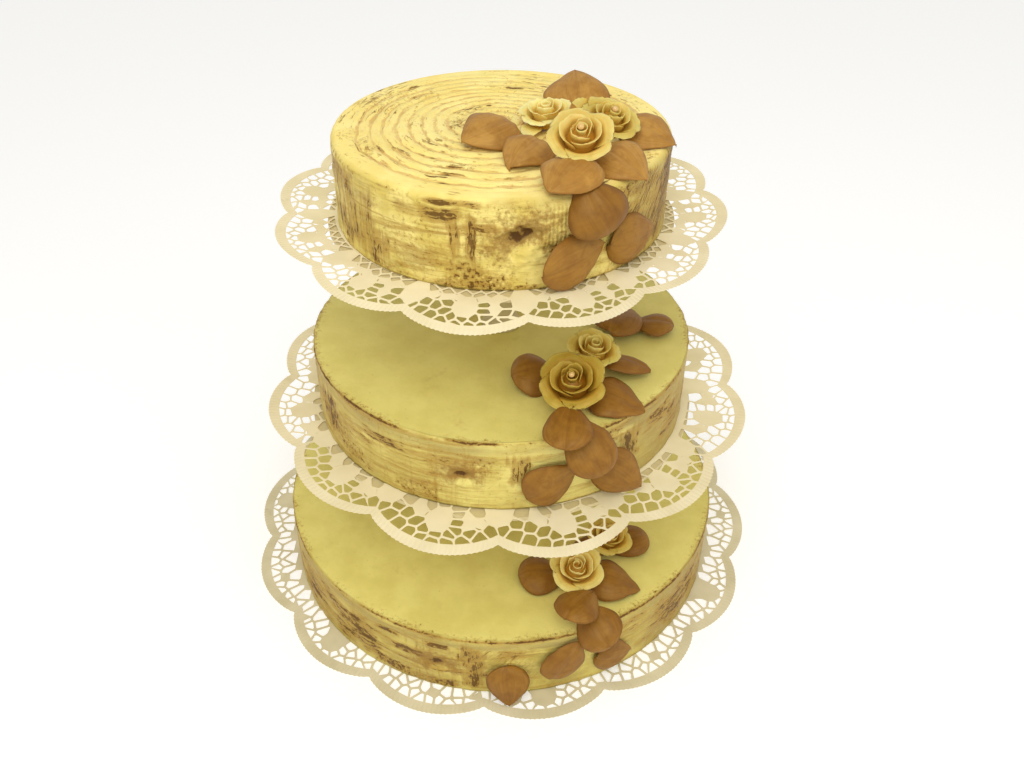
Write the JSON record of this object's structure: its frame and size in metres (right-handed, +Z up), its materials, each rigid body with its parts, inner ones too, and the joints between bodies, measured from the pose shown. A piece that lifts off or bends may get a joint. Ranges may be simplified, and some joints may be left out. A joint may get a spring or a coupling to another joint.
{
  "type": "tiered wedding cake",
  "caption": "Round tiered wedding cake in bark-like butter cream on scalloped lace papers, with marzipan roses and leaves running down its front.",
  "frame": {"origin": "middle of the bottom paper, on the surface it lies on", "axes": "+Z up, front towards -Y, the roses on the front's +X side"},
  "size_m": [0.462, 0.4588, 0.4335],
  "materials": {
    "butter_cream": "soft satin cream brushed like bark",
    "lace_paper": "matt",
    "pillar_plastic": "plain",
    "leaf_marzipan": "matt, dusted with cocoa",
    "rose_marzipan": "satin"
  },
  "bodies": {
    "root": {"cake_bottom": "butter_cream", "cake_middle": "butter_cream", "cake_top": "butter_cream", "paper_bottom": "lace_paper", "paper_middle": "lace_paper", "paper_top": "lace_paper", "separator_middle": "pillar_plastic", "separator_top": "pillar_plastic", "pillar_middle": "pillar_plastic", "pillar_top": "pillar_plastic", "leaf_bottom_1": "leaf_marzipan", "leaf_bottom_2": "leaf_marzipan", "leaf_bottom_3": "leaf_marzipan", "leaf_bottom_4": "leaf_marzipan", "leaf_bottom_5": "leaf_marzipan", "leaf_bottom_6": "leaf_marzipan", "leaf_bottom_7": "leaf_marzipan", "leaf_bottom_8": "leaf_marzipan", "leaf_bottom_9": "leaf_marzipan", "leaf_middle_1": "leaf_marzipan", "leaf_middle_2": "leaf_marzipan", "leaf_middle_3": "leaf_marzipan", "leaf_middle_4": "leaf_marzipan", "leaf_middle_5": "leaf_marzipan", "leaf_middle_6": "leaf_marzipan", "leaf_middle_7": "leaf_marzipan", "leaf_middle_8": "leaf_marzipan", "leaf_middle_9": "leaf_marzipan", "leaf_top_1": "leaf_marzipan", "leaf_top_2": "leaf_marzipan", "leaf_top_3": "leaf_marzipan", "leaf_top_4": "leaf_marzipan", "leaf_top_5": "leaf_marzipan", "leaf_top_6": "leaf_marzipan", "leaf_top_7": "leaf_marzipan", "leaf_top_8": "leaf_marzipan", "leaf_top_9": "leaf_marzipan", "rose_bottom_back": "rose_marzipan", "rose_bottom_front": "rose_marzipan", "rose_middle_back": "rose_marzipan", "rose_middle_front": "rose_marzipan", "rose_top_left": "rose_marzipan", "rose_top_right": "rose_marzipan", "rose_top_front": "rose_marzipan"}
  },
  "joints": []
}
